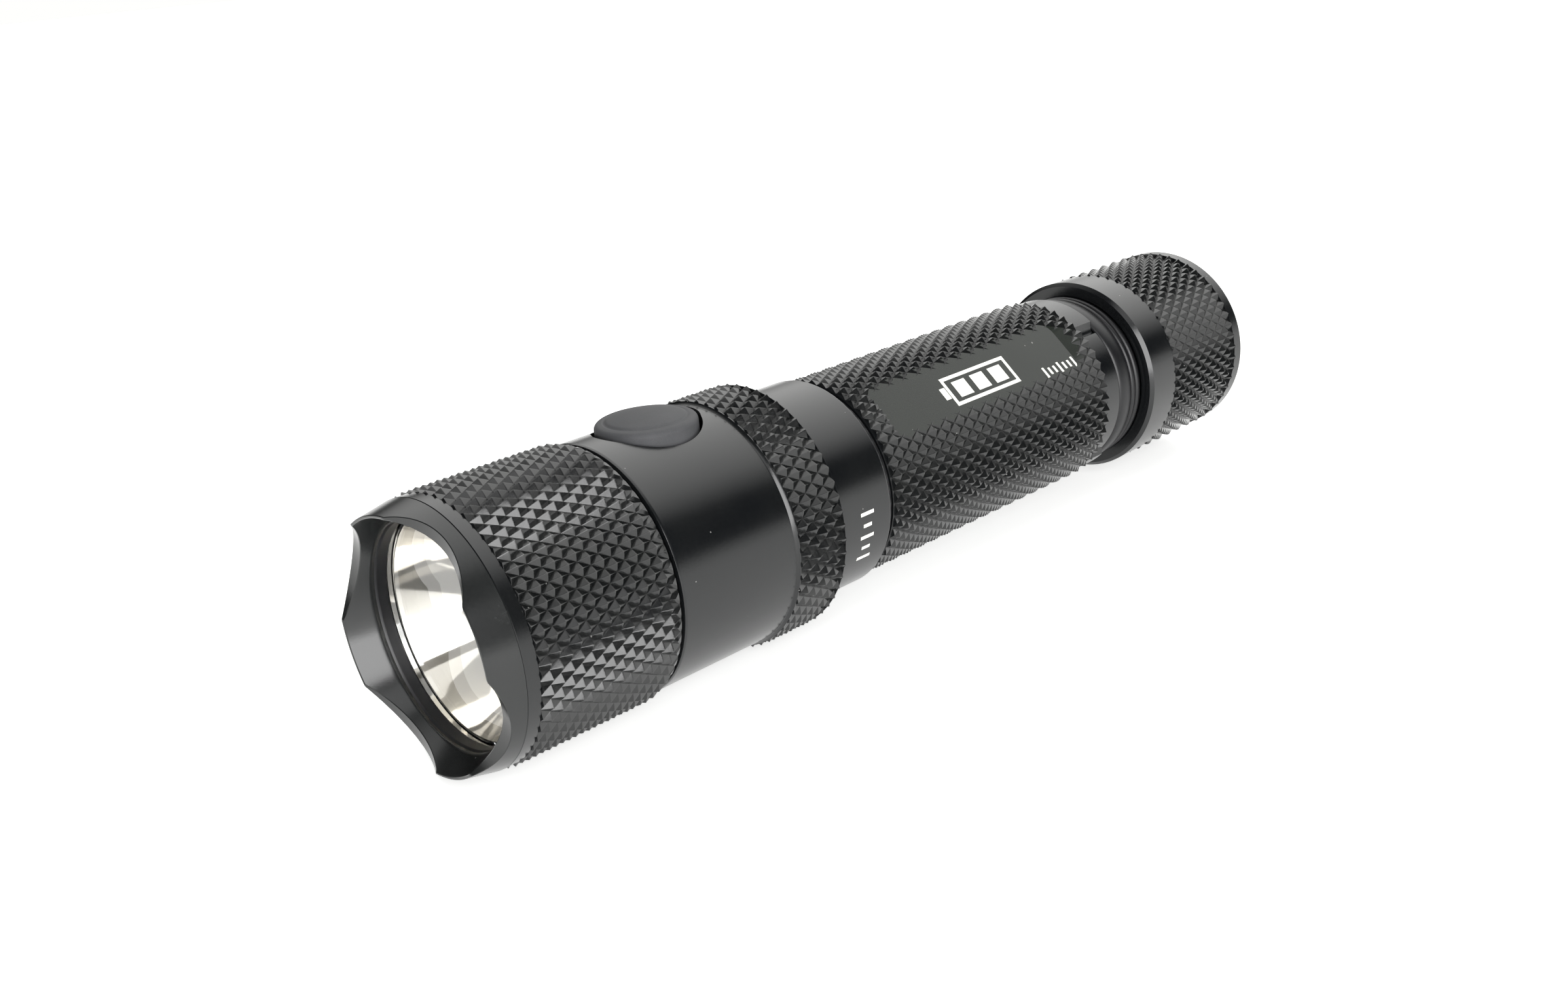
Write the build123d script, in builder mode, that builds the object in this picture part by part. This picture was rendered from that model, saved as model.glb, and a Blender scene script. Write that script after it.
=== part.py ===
from build123d import *
import os
from math import pi, sqrt

os.makedirs("parts", exist_ok=True)

# A compact tactical flashlight for one AA-size cell, with a side switch.
# X is the optical axis, and +X points out of the bezel. +Z passes through the side switch.
# The origin is the centre of the tail cap's flat end, and a station is a distance along X from it.
# A clock angle is measured about X from +Z towards +Y, in degrees. All sizes are in mm.

# ---------------------------------------------------------------- driving dimensions

# Cell and its space in the battery tube
cell_diameter = 14.5
cell_length = 50.5
cell_clearance = 0.25
nipple_length = 1.2
nipple_radius = 2.75
nipple_recess = 0.5
cell_shoulder = 0.6

# Walls and screw threads, which are modelled as plain cylinders at their crest radius
tube_wall = 2.0
thread_wall = 0.8
thread_clearance = 0.08
thread_pitch = 1.0
rear_thread_length = 8.4
front_thread_length = 4.5
housing_neck_wall = 1.32
tail_cap_wall = 1.72
shell_wall = 1.57
shell_front_wall = 0.95
spigot_wall = 0.7
bezel_spigot_wall = 0.62

# Outer form, tail to bezel
tail_cap_length = 18.2
tail_end_wall = 2.2
tail_end_chamfer = 1.1
clip_neck_length = 5.0
clip_neck_step = 0.3
clip_land_height = 0.5
clip_land_edge = 36.0
clip_land_window = 100.0
housing_neck_length = 6.8
ring_length = 6.1
ring_groove = 0.5
band_length = 12.0
band_step = 0.45
seam_gap = 0.35
shell_length = 14.9
shell_front_land = 1.2
shell_front_step = 0.25
head_radius = 11.25
spigot_length = 5.0
edge_chamfer = 0.4

# Bezel
bezel_length = 2.7
bezel_lip_radius = 10.45
bezel_lip_width = 0.2
bezel_funnel_depth = 2.4
bezel_grip_depth = 0.5
scallop_count = 4
scallop_depth = 1.55
scallop_width = 10.2
scallop_clock = 28.0

# Milled panel on the grip
panel_clock = 43.0
panel_depth = 0.75
panel_length = 28.6
panel_width = 6.3
panel_corner = 1.6
panel_rear_margin = 0.8

# Optics and light source
lens_thickness = 1.5
lens_setback = 3.9
lens_clearance = 0.1
reflector_depth = 9.3
reflector_rim_length = 2.0
reflector_rim_width = 0.5
reflector_back_wall = 1.8
reflector_clearance = 0.1
gasket_thickness = 1.1
gasket_radius = 5.5
emitter_side = 3.5
emitter_thickness = 0.6
emitter_clearance = 0.05
emitter_dome_radius = 1.35
led_board_thickness = 1.2
led_board_margin = 0.85
pill_thickness = 2.6
pill_clearance = 0.05

# Side switch
button_radius = 4.3
button_clearance = 0.15
button_pill_gap = 0.35
button_proud = 1.0
button_edge_height = 0.2
button_fillet = 0.4
button_travel = 0.6
button_ledge_depth = 2.8
button_ledge_width = 0.9
button_ledge_wall = 0.4
button_rest_gap = 0.1
button_rim_thickness = 0.5
actuator_radius = 1.8
stem_radius = 1.0
stem_length = 1.5
stem_clearance = 0.06
tactile_side = 4.5
tactile_height = 1.6
switch_board_thickness = 0.8
switch_board_length = 9.0
switch_board_width = 10.0
carrier_thickness = 2.4
carrier_length = 12.6
carrier_clearance = 0.1

# Driver and contacts
driver_board_thickness = 1.2
driver_ring_length = 1.0
driver_ring_width = 1.1
contact_radius = 2.0
tail_board_thickness = 1.0
tail_ring_length = 1.4
tail_ring_width = 2.4
tail_ring_slot = 1.4
spring_length = 7.8
spring_radius = 3.0
spring_wire = 0.7
spring_turns = 4
lead_radius = 0.5
lead_spacing = 6.0
lead_drop = 3.0
lead_hole_clearance = 0.3
board_gap = 0.2

# O-rings
oring_section = 0.76
oring_gap = 0.02

# ---------------------------------------------------------------- derived radii

cell_radius = cell_diameter / 2
tube_bore = cell_radius + cell_clearance
grip_radius = tube_bore + tube_wall
panel_height = grip_radius - panel_depth
thread_radius = tube_bore + thread_wall
thread_bore = thread_radius + thread_clearance
clip_neck_radius = thread_radius + clip_neck_step
clip_land_radius = clip_neck_radius + clip_land_height
housing_neck_radius = thread_bore + housing_neck_wall
tail_cap_radius = thread_bore + tail_cap_wall
band_radius = head_radius - band_step
shell_bore = head_radius - shell_wall
spigot_radius = shell_bore - thread_clearance
pill_pocket = spigot_radius - spigot_wall
pill_radius = pill_pocket - pill_clearance
led_board_radius = pill_radius - led_board_margin
bezel_thread_bore = head_radius - shell_front_wall
bezel_spigot_radius = bezel_thread_bore - thread_clearance
lens_seat_radius = bezel_spigot_radius - bezel_spigot_wall
lens_radius = lens_seat_radius - lens_clearance
bezel_grip_radius = lens_seat_radius - bezel_grip_depth
bezel_rear_radius = head_radius - shell_front_step
reflector_rim_radius = shell_bore - reflector_clearance
mirror_radius = lens_radius - reflector_rim_width
oring_radius = oring_section / 2
front_oring_floor = thread_radius
rear_oring_floor = thread_radius - oring_section / 2

# ---------------------------------------------------------------- derived stations

tail_board_rear = tail_end_wall
tail_board_front = tail_board_rear + tail_board_thickness
tail_ring_front = tail_board_front + tail_ring_length
cell_rear = tail_board_front + spring_length
cell_front = cell_rear + cell_length
tube_front = cell_front + nipple_recess
tube_rear = tail_cap_length - rear_thread_length
clip_neck_rear = tail_cap_length + 2 * oring_section + 4 * oring_gap
grip_rear = clip_neck_rear + clip_neck_length
housing_rear = tube_front - front_thread_length
grip_front = housing_rear - oring_section - 2 * oring_gap
ring_rear = housing_rear + housing_neck_length
band_rear = ring_rear + ring_length
band_front = band_rear + band_length
shell_rear = band_front + seam_gap
shell_front = band_front + shell_length
bezel_tip = shell_front + bezel_length

driver_ring_rear = tube_front + board_gap
driver_board_rear = driver_ring_rear + driver_ring_length
driver_board_front = driver_board_rear + driver_board_thickness

lens_front = bezel_tip - lens_setback
lens_rear = lens_front - lens_thickness
bezel_throat = bezel_tip - bezel_funnel_depth
bezel_spigot_rear = lens_rear + board_gap
reflector_rear = lens_rear - reflector_depth
led_board_front = reflector_rear - gasket_thickness
led_board_rear = led_board_front - led_board_thickness
pill_rear = led_board_rear - pill_thickness
spigot_front = band_front + spigot_length

button_well_radius = button_radius + button_clearance
button_station = pill_rear - button_pill_gap - button_well_radius
carrier_front = pill_rear - board_gap
carrier_rear = carrier_front - carrier_length

# ---------------------------------------------------------------- derived heights under the switch

ledge_height = band_radius - button_ledge_depth
cavity_radius = ledge_height - button_ledge_wall
button_hole_radius = button_well_radius - button_ledge_width
rim_top = ledge_height + button_rim_thickness
button_base = rim_top + button_travel + button_rest_gap
button_edge = band_radius + button_edge_height
button_top = band_radius + button_proud
stem_top = ledge_height - button_rest_gap
stem_base = stem_top - stem_length
tactile_top = stem_top - stem_clearance - button_travel
switch_board_top = tactile_top - tactile_height
switch_board_base = switch_board_top - switch_board_thickness
carrier_base = switch_board_base - carrier_thickness


def outline(*points):
    """The closed face through (station, radius) points, ready to be turned about X."""
    with BuildSketch(Plane.XY) as face:
        with BuildLine():
            Polyline(*points, close=True)
        make_face()
    return face.sketch


def tube_outline(rear, front, inner, outer):
    """The section of a plain ring between two stations and two radii."""
    return outline((rear, inner), (front, inner), (front, outer), (rear, outer))


def rod_outline(rear, front, radius):
    """The section of a plain rod on the axis."""
    return tube_outline(rear, front, 0, radius)


def at_clock(station, angle):
    """A place on the axis whose local Z points outwards at a clock angle."""
    return Location((station, 0, 0), (-angle, 0, 0))


def save(builder, name):
    """Labels a finished piece and writes its STEP file."""
    builder.part.label = name
    export_step(builder.part, "parts/" + name + ".step")


# ---------------------------------------------------------------- tail end

with BuildPart() as tail_cap:
    revolve(
        outline(
            (0, 0),
            (0, tail_cap_radius - tail_end_chamfer),
            (tail_end_chamfer, tail_cap_radius),
            (tail_cap_length - edge_chamfer, tail_cap_radius),
            (tail_cap_length, tail_cap_radius - edge_chamfer),
            (tail_cap_length, thread_bore),
            (tail_end_wall, thread_bore),
            (tail_end_wall, 0),
        ),
        axis=Axis.X,
    )
save(tail_cap, "tail_cap")

with BuildPart() as tail_board:
    revolve(rod_outline(tail_board_rear, tail_board_front, thread_radius), axis=Axis.X)
save(tail_board, "tail_board")

with BuildPart() as tail_ring:
    ring_bore = thread_radius - tail_ring_width
    revolve(tube_outline(tail_board_front, tail_ring_front, ring_bore, thread_radius), axis=Axis.X)
    slot_depth = tail_ring_length / 2
    with Locations((tail_ring_front, 0, 0)):
        Box(2 * slot_depth, 2 * thread_radius, tail_ring_slot, mode=Mode.SUBTRACT)
save(tail_ring, "tail_ring")

with BuildPart() as tail_spring:
    wire_radius = spring_wire / 2
    coil_radius = spring_radius - wire_radius
    coil_start = tail_board_front + wire_radius
    coil_height = spring_length - spring_wire
    with BuildLine() as coil:
        Helix(coil_height / spring_turns, coil_height, coil_radius, (coil_start, 0, 0), (1, 0, 0))
    with BuildSketch(Plane(origin=coil.line @ 0, z_dir=coil.line % 0)):
        Circle(wire_radius)
    sweep(path=coil.line, is_frenet=True)
    for seat in (tail_board_front, cell_rear - spring_wire):
        with BuildSketch(Plane.XY) as seat_section:
            with Locations((seat + wire_radius, coil_radius)):
                Circle(wire_radius)
        revolve(axis=Axis.X)
save(tail_spring, "tail_spring")

# ---------------------------------------------------------------- cell

with BuildPart() as cell_can:
    shoulder = cell_front - nipple_length
    revolve(
        outline(
            (cell_rear, 0),
            (cell_rear, cell_radius - cell_shoulder),
            (cell_rear + cell_shoulder, cell_radius),
            (shoulder - cell_shoulder, cell_radius),
            (shoulder, cell_radius - cell_shoulder),
            (shoulder, 0),
        ),
        axis=Axis.X,
    )
save(cell_can, "cell_can")

with BuildPart() as cell_nipple:
    revolve(rod_outline(cell_front - nipple_length, cell_front, nipple_radius), axis=Axis.X)
    fillet(cell_nipple.edges().filter_by(GeomType.CIRCLE).sort_by(Axis.X)[-1], nipple_length / 3)
save(cell_nipple, "cell_nipple")

# ---------------------------------------------------------------- battery tube and its seals

with BuildPart() as battery_tube:
    groove_top = tail_cap_length + oring_gap
    revolve(
        outline(
            (tube_rear, tube_bore),
            (tube_rear, thread_radius),
            (groove_top, thread_radius),
            (groove_top, rear_oring_floor),
            (clip_neck_rear, rear_oring_floor),
            (clip_neck_rear, clip_neck_radius),
            (grip_rear, clip_neck_radius),
            (grip_rear, grip_radius - edge_chamfer),
            (grip_rear + edge_chamfer, grip_radius),
            (grip_front - edge_chamfer, grip_radius),
            (grip_front, grip_radius - edge_chamfer),
            (grip_front, thread_radius),
            (tube_front, thread_radius),
            (tube_front, tube_bore),
        ),
        axis=Axis.X,
    )
    # The raised land that stops a pocket clip from turning, round the rest of the neck
    with BuildSketch(Plane.XY.rotated((90 - clip_land_edge, 0, 0))) as land_section:
        with BuildLine():
            Polyline(
                (clip_neck_rear, clip_neck_radius - clip_neck_step),
                (grip_rear + edge_chamfer, clip_neck_radius - clip_neck_step),
                (grip_rear + edge_chamfer, clip_land_radius),
                (clip_neck_rear, clip_land_radius),
                close=True,
            )
        make_face()
    revolve(axis=Axis.X, revolution_arc=360 - clip_land_window)
    # The milled panel
    panel_station = grip_rear + panel_rear_margin + panel_length / 2
    with BuildSketch(Plane(at_clock(panel_station, panel_clock)).offset(panel_height)):
        RectangleRounded(panel_length, panel_width, panel_corner)
    extrude(amount=grip_radius, mode=Mode.SUBTRACT)
save(battery_tube, "battery_tube")


def oring(station, floor):
    """A round-section O-ring that lies on a groove floor."""
    with BuildSketch(Plane.XY) as section:
        with Locations((station, floor + oring_radius)):
            Circle(oring_radius)
    return section.sketch


with BuildPart() as neck_oring:
    revolve(oring((grip_front + housing_rear) / 2, front_oring_floor), axis=Axis.X)
save(neck_oring, "neck_oring")

with BuildPart() as tail_oring_rear:
    revolve(oring(tail_cap_length + 2 * oring_gap + oring_radius, rear_oring_floor), axis=Axis.X)
save(tail_oring_rear, "tail_oring_rear")

with BuildPart() as tail_oring_front:
    revolve(oring(clip_neck_rear - oring_radius, rear_oring_floor), axis=Axis.X)
save(tail_oring_front, "tail_oring_front")

# ---------------------------------------------------------------- switch housing

with BuildPart() as switch_housing:
    revolve(
        outline(
            (housing_rear, thread_bore),
            (housing_rear, housing_neck_radius - edge_chamfer),
            (housing_rear + edge_chamfer, housing_neck_radius),
            (ring_rear, housing_neck_radius),
            (ring_rear, head_radius - 2 * edge_chamfer),
            (ring_rear + 2 * edge_chamfer, head_radius),
            (band_rear - ring_groove, head_radius),
            (band_rear - ring_groove, band_radius - edge_chamfer),
            (band_rear, band_radius - edge_chamfer),
            (band_rear + edge_chamfer, band_radius),
            (band_front, band_radius),
            (band_front, spigot_radius),
            (spigot_front, spigot_radius),
            (spigot_front, pill_pocket),
            (pill_rear, pill_pocket),
            (pill_rear, cavity_radius),
            (driver_board_front, cavity_radius),
            (driver_board_front, thread_bore),
        ),
        axis=Axis.X,
    )
    # The stepped well of the side switch
    with Locations((button_station, 0, ledge_height)):
        Cylinder(
            button_well_radius,
            head_radius,
            align=(Align.CENTER, Align.CENTER, Align.MIN),
            mode=Mode.SUBTRACT,
        )
    with Locations((button_station, 0, 0)):
        Cylinder(
            button_hole_radius,
            head_radius,
            align=(Align.CENTER, Align.CENTER, Align.MIN),
            mode=Mode.SUBTRACT,
        )
save(switch_housing, "switch_housing")

# ---------------------------------------------------------------- side switch

with BuildPart() as button_rim:
    with Locations((button_station, 0, ledge_height)):
        Cylinder(button_well_radius, button_rim_thickness, align=(Align.CENTER, Align.CENTER, Align.MIN))
        Cylinder(
            button_hole_radius,
            button_rim_thickness,
            align=(Align.CENTER, Align.CENTER, Align.MIN),
            mode=Mode.SUBTRACT,
        )
save(button_rim, "button_rim")

dome_height = button_top - button_edge
dome_radius = (button_radius**2 + dome_height**2) / (2 * dome_height)


def dome_at(radius):
    """The button dome's (radius, height) point, on a ball centred on the button's own axis."""
    return (radius, button_top - dome_radius + sqrt(dome_radius**2 - radius**2))


with BuildPart() as rubber_button:
    with BuildSketch(Plane.XZ) as dome_section:
        with BuildLine():
            Polyline((0, button_top), (0, button_base), (button_radius, button_base), dome_at(button_radius))
            ThreePointArc(dome_at(button_radius), dome_at(button_radius / 2), (0, button_top))
        make_face()
        fillet(dome_section.vertices().sort_by(Axis.X)[-2:].sort_by(Axis.Z)[-1], button_fillet)
    revolve(axis=Axis.Z)
rubber_button.part.locate(Location((button_station, 0, 0)))
save(rubber_button, "rubber_button")

with BuildPart() as button_actuator:
    with Locations((button_station, 0, stem_top)):
        Cylinder(actuator_radius, button_base - stem_top, align=(Align.CENTER, Align.CENTER, Align.MIN))
save(button_actuator, "button_actuator")

with BuildPart() as switch_stem:
    with Locations((button_station, 0, stem_base)):
        Cylinder(stem_radius, stem_length, align=(Align.CENTER, Align.CENTER, Align.MIN))
save(switch_stem, "switch_stem")

with BuildPart() as tactile_switch:
    with Locations((button_station, 0, switch_board_top)):
        Box(
            tactile_side,
            tactile_side,
            tactile_height,
            align=(Align.CENTER, Align.CENTER, Align.MIN),
        )
    stem_hole_base = stem_base - button_travel - stem_clearance
    with Locations((button_station, 0, stem_hole_base)):
        Cylinder(
            stem_radius + stem_clearance,
            tactile_height,
            align=(Align.CENTER, Align.CENTER, Align.MIN),
            mode=Mode.SUBTRACT,
        )
save(tactile_switch, "tactile_switch")

with BuildPart() as switch_board:
    with Locations((button_station, 0, switch_board_base)):
        Box(
            switch_board_length,
            switch_board_width,
            switch_board_thickness,
            align=(Align.CENTER, Align.CENTER, Align.MIN),
        )
save(switch_board, "switch_board")

with BuildPart() as switch_carrier:
    revolve(
        rod_outline(carrier_rear, carrier_front, cavity_radius - carrier_clearance),
        axis=Axis.X,
    )
    with Locations((carrier_rear + carrier_length / 2, 0, carrier_base + carrier_thickness / 2)):
        Box(carrier_length, 2 * cavity_radius, carrier_thickness, mode=Mode.INTERSECT)
save(switch_carrier, "switch_carrier")

# ---------------------------------------------------------------- driver

with BuildPart() as driver_ring:
    ring_bore = thread_radius - driver_ring_width
    revolve(tube_outline(driver_ring_rear, driver_board_rear, ring_bore, thread_radius), axis=Axis.X)
save(driver_ring, "driver_ring")

with BuildPart() as driver_board:
    revolve(rod_outline(driver_board_rear, driver_board_front, thread_radius), axis=Axis.X)
save(driver_board, "driver_board")

with BuildPart() as driver_contact:
    revolve(rod_outline(cell_front, driver_board_rear, contact_radius), axis=Axis.X)
    fillet(driver_contact.edges().filter_by(GeomType.CIRCLE).sort_by(Axis.X)[0], contact_radius / 4)
save(driver_contact, "driver_contact")

with BuildPart() as driver_components:
    inductor = ((1.6, 4.0, 4.0), 0, 0)
    controller = ((1.2, 3.0, 2.2), 0, -4.6)
    capacitor = ((1.0, 3.0, 2.0), -4.4, 2)
    for size, across, height in (inductor, controller, capacitor):
        with Locations((driver_board_front, across, height)):
            Box(*size, align=(Align.MIN, Align.CENTER, Align.CENTER))
save(driver_components, "driver_components")

lead_sides = (-lead_spacing / 2, lead_spacing / 2)

with BuildPart() as led_leads:
    for side in lead_sides:
        with BuildSketch(Plane.YZ.offset(driver_board_front)):
            with Locations((side, -lead_drop)):
                Circle(lead_radius)
    extrude(amount=led_board_rear - driver_board_front)
save(led_leads, "led_leads")

with BuildPart() as switch_leads:
    switch_board_rear = button_station - switch_board_length / 2
    for side in lead_sides:
        with BuildSketch(Plane.YZ.offset(driver_board_front)):
            with Locations((side / 2, switch_board_base + switch_board_thickness / 2)):
                Circle(switch_board_thickness / 2)
    extrude(amount=switch_board_rear - driver_board_front)
save(switch_leads, "switch_leads")

# ---------------------------------------------------------------- light source

with BuildPart() as heat_pill:
    revolve(rod_outline(pill_rear, led_board_rear, pill_radius), axis=Axis.X)
    with BuildSketch(Plane.YZ.offset(pill_rear)):
        for side in lead_sides:
            with Locations((side, -lead_drop)):
                Circle(lead_radius + lead_hole_clearance)
    extrude(amount=pill_thickness, mode=Mode.SUBTRACT)
save(heat_pill, "heat_pill")

with BuildPart() as led_board:
    revolve(rod_outline(led_board_rear, led_board_front, led_board_radius), axis=Axis.X)
save(led_board, "led_board")

with BuildPart() as led_emitter:
    with Locations((led_board_front, 0, 0)):
        Box(
            emitter_thickness,
            emitter_side,
            emitter_side,
            align=(Align.MIN, Align.CENTER, Align.CENTER),
        )
save(led_emitter, "led_emitter")

with BuildPart() as emitter_dome:
    dome_base = led_board_front + emitter_thickness
    with Locations((dome_base, 0, 0)):
        Sphere(emitter_dome_radius)
    split(bisect_by=Plane.YZ.offset(dome_base), keep=Keep.TOP)
save(emitter_dome, "emitter_dome")

with BuildPart() as centring_gasket:
    revolve(rod_outline(led_board_front, reflector_rear, gasket_radius), axis=Axis.X)
    with Locations((led_board_front, 0, 0)):
        window = emitter_side + 2 * emitter_clearance
        Box(
            gasket_thickness,
            window,
            window,
            align=(Align.MIN, Align.CENTER, Align.CENTER),
            mode=Mode.SUBTRACT,
        )
save(centring_gasket, "centring_gasket")

# The mirror is a parabola whose focus is on the emitter's face, so mirror_radius**2 is
# 4 * focal * (reach + focal), where reach is the way from the emitter's face to the lens.
emitter_face = led_board_front + emitter_thickness
mirror_reach = lens_rear - emitter_face
focal = (sqrt(mirror_reach**2 + mirror_radius**2) - mirror_reach) / 2
mirror_vertex = emitter_face - focal


def mirror_at(station):
    """The parabola's (station, radius) point at a station."""
    return (station, sqrt(4 * focal * (station - mirror_vertex)))


with BuildPart() as reflector:
    mirror_stations = [reflector_rear + reflector_depth * step / 8 for step in range(9)]
    mirror_points = [mirror_at(station) for station in mirror_stations]
    rim_rear = lens_rear - reflector_rim_length
    with BuildSketch(Plane.XY):
        with BuildLine():
            Spline(*mirror_points)
            Polyline(
                mirror_points[-1],
                (lens_rear, reflector_rim_radius),
                (rim_rear, reflector_rim_radius),
                (reflector_rear, mirror_points[0][1] + reflector_back_wall),
                mirror_points[0],
            )
        make_face()
    revolve(axis=Axis.X)
save(reflector, "reflector")

with BuildPart() as lens:
    revolve(rod_outline(lens_rear, lens_front, lens_radius), axis=Axis.X)
    chamfer(lens.edges().filter_by(GeomType.CIRCLE), lens_thickness / 10)
save(lens, "lens")

# ---------------------------------------------------------------- head shell and bezel

with BuildPart() as head_shell:
    seal_pocket = spigot_radius + oring_section
    revolve(
        outline(
            (shell_rear, seal_pocket),
            (shell_rear, head_radius - edge_chamfer),
            (shell_rear + edge_chamfer, head_radius),
            (shell_front - shell_front_land, head_radius),
            (shell_front - shell_front_land, bezel_rear_radius),
            (shell_front, bezel_rear_radius),
            (shell_front, bezel_thread_bore),
            (bezel_spigot_rear - board_gap, bezel_thread_bore),
            (bezel_spigot_rear - board_gap, shell_bore),
            (band_front + oring_section + seam_gap, shell_bore),
            (band_front + oring_section + seam_gap, seal_pocket),
        ),
        axis=Axis.X,
    )
save(head_shell, "head_shell")

with BuildPart() as head_oring:
    revolve(oring(band_front + oring_radius + oring_gap, spigot_radius), axis=Axis.X)
save(head_oring, "head_oring")

with BuildPart() as lens_oring:
    revolve(
        tube_outline(lens_front, shell_front, bezel_grip_radius - oring_gap, lens_seat_radius),
        axis=Axis.X,
    )
save(lens_oring, "lens_oring")

with BuildPart() as bezel_ring:
    revolve(
        outline(
            (bezel_spigot_rear, lens_seat_radius),
            (bezel_spigot_rear, bezel_spigot_radius),
            (shell_front, bezel_spigot_radius),
            (shell_front, bezel_rear_radius),
            (bezel_tip, bezel_lip_radius),
            (bezel_tip, bezel_lip_radius - bezel_lip_width),
            (bezel_throat, bezel_grip_radius),
            (shell_front, bezel_grip_radius),
            (shell_front, lens_seat_radius),
        ),
        axis=Axis.X,
    )
    # Scallops, each the path of a round cutter that stands radially
    cutter_radius = (scallop_width**2 / 4 + scallop_depth**2) / (2 * scallop_depth)
    cutter_station = bezel_tip + cutter_radius - scallop_depth
    clocks = [scallop_clock + 360 / scallop_count * n for n in range(scallop_count)]
    with Locations(*[at_clock(cutter_station, clock) for clock in clocks]):
        Cylinder(
            cutter_radius,
            head_radius * 2,
            align=(Align.CENTER, Align.CENTER, Align.MIN),
            mode=Mode.SUBTRACT,
        )
save(bezel_ring, "bezel_ring")

print("length", bezel_tip, "head diameter", 2 * head_radius)
print("turn per metre of travel, in radians", 2 * pi * 1000 / thread_pitch)
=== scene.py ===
import math

import bpy
import numpy as np
from mathutils import Matrix, Vector


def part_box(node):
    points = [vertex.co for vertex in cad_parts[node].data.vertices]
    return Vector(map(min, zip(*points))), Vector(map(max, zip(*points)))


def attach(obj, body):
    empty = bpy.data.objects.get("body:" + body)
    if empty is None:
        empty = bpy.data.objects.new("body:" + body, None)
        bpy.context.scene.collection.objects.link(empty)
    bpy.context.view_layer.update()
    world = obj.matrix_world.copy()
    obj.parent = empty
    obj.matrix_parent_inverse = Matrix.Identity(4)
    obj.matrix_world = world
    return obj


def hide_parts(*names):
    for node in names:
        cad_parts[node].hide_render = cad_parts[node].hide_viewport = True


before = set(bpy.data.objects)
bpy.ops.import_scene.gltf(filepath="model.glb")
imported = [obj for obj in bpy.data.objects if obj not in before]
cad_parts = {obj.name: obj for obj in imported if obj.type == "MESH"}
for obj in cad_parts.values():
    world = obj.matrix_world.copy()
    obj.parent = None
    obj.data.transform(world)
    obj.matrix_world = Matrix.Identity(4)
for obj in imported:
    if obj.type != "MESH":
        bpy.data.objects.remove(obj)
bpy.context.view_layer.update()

# A compact tactical flashlight. X is its axis and +X leaves the bezel; Z passes through the side switch.
# Lengths here are millimetres along and around that axis, and become metres as a mesh is made.
# A clock angle is measured about X from +Z towards +Y.

MM = 0.001


def reach(node):
    """A node's rear station, front station and greatest height above the axis, in millimetres."""
    low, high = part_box(node)
    return low.x / MM, high.x / MM, high.z / MM


tail_end, cap_front, cap_radius = reach("tail_cap")
tube_rear, tube_front, grip_radius = reach("battery_tube")
housing_rear, spigot_front, head_radius = reach("switch_housing")
shell_rear, shell_front, _ = reach("head_shell")
bezel_rear, bezel_tip, bezel_radius = reach("bezel_ring")
lens_rear, lens_front, lens_radius = reach("lens")
mirror_rear, mirror_front, mirror_rim = reach("reflector")
button_low, button_high = (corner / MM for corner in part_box("rubber_button"))
button_station = (button_low.x + button_high.x) / 2
button_radius = (button_high.x - button_low.x) / 2
thread_radius = reach("tail_board")[2]
cell_radius = reach("cell_can")[2]

# Knurling: a lattice of diamonds, so many around, cut between a crest and a root
head_diamonds = 56
grip_diamonds = 48
cap_diamonds = 52
diamond_length = 1.94
knurl_depth = 0.46
knurl_tip = 0.96
fine = 2

# Turning and shading: a broken corner's size, the inset of a long run's extra rings, the runs that get
# them, and the angle in degrees past which an edge stays crisp
corner_break = 0.12
ring_inset = 0.05
long_run = 0.8
crisp = 34

# Stations and radii that the node boxes don't give
cap_knurl_rear = 2.4
cap_knurl_front = 13.9
cap_chamfer = 1.1
cap_land_drop = 0.15
cap_floor = 2.2
cap_thread_length = 9.0
thread_bore = thread_radius + 0.08
thread_pitch = 1.0
thread_depth = 0.32
tube_bore = cell_radius + 0.25
oring_floor = thread_radius - 0.38
seal_gap = 1.6
clip_neck_rear = cap_front + seal_gap
clip_neck_length = 5.0
clip_neck_radius = thread_radius + 0.3
clip_land_radius = clip_neck_radius + 0.5
collar_width = 2.1
collar_floor = clip_neck_radius - 0.55
clip_land_edge = 36.0
clip_land_window = 100.0
notch_clock = clip_land_edge + 4.5
notch_width = 1.6
notch_depth = 0.35
grip_rear = clip_neck_rear + clip_neck_length
grip_front = housing_rear - 0.8
neck_radius = thread_bore + 1.32
ring_rear = housing_rear + 6.8
ring_front = ring_rear + 6.1
band_radius = head_radius - 0.45
band_front = ring_front + 12.0
spigot_radius = 9.6
pill_pocket = 8.9
pill_rear = 80.4
housing_cavity = 7.6
driver_front = 64.4
shell_bore = spigot_radius + 0.08
seal_pocket = spigot_radius + 0.76
seal_pocket_front = band_front + 1.11
shell_land = 1.2
bezel_bore = head_radius - 0.95
lens_seat = lens_radius + 0.1
bezel_throat = bezel_tip - 2.4
bezel_grip = lens_seat - 0.3
bezel_lip = 10.45
lip_width = 0.22
scallop_clock = 28.0
scallop_width = 10.2
scallop_depth = 1.55
panel_clock = 43.0
panel_height = grip_radius - 0.75
panel_ramp = 2.0
panel_length = 28.6
panel_width = 6.3
panel_corner = 1.6
panel_rear = grip_rear + 0.8
well_radius = button_radius + 0.32
well_step = 0.9
well_depth = 2.8
well_shaft = 6.0
well_bevel = 0.22


# ---------------------------------------------------------------- surfaces


def clocks(count):
    """Evenly spaced clock angles, in radians, as one row."""
    return np.arange(count) * (2 * math.pi / count)


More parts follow.
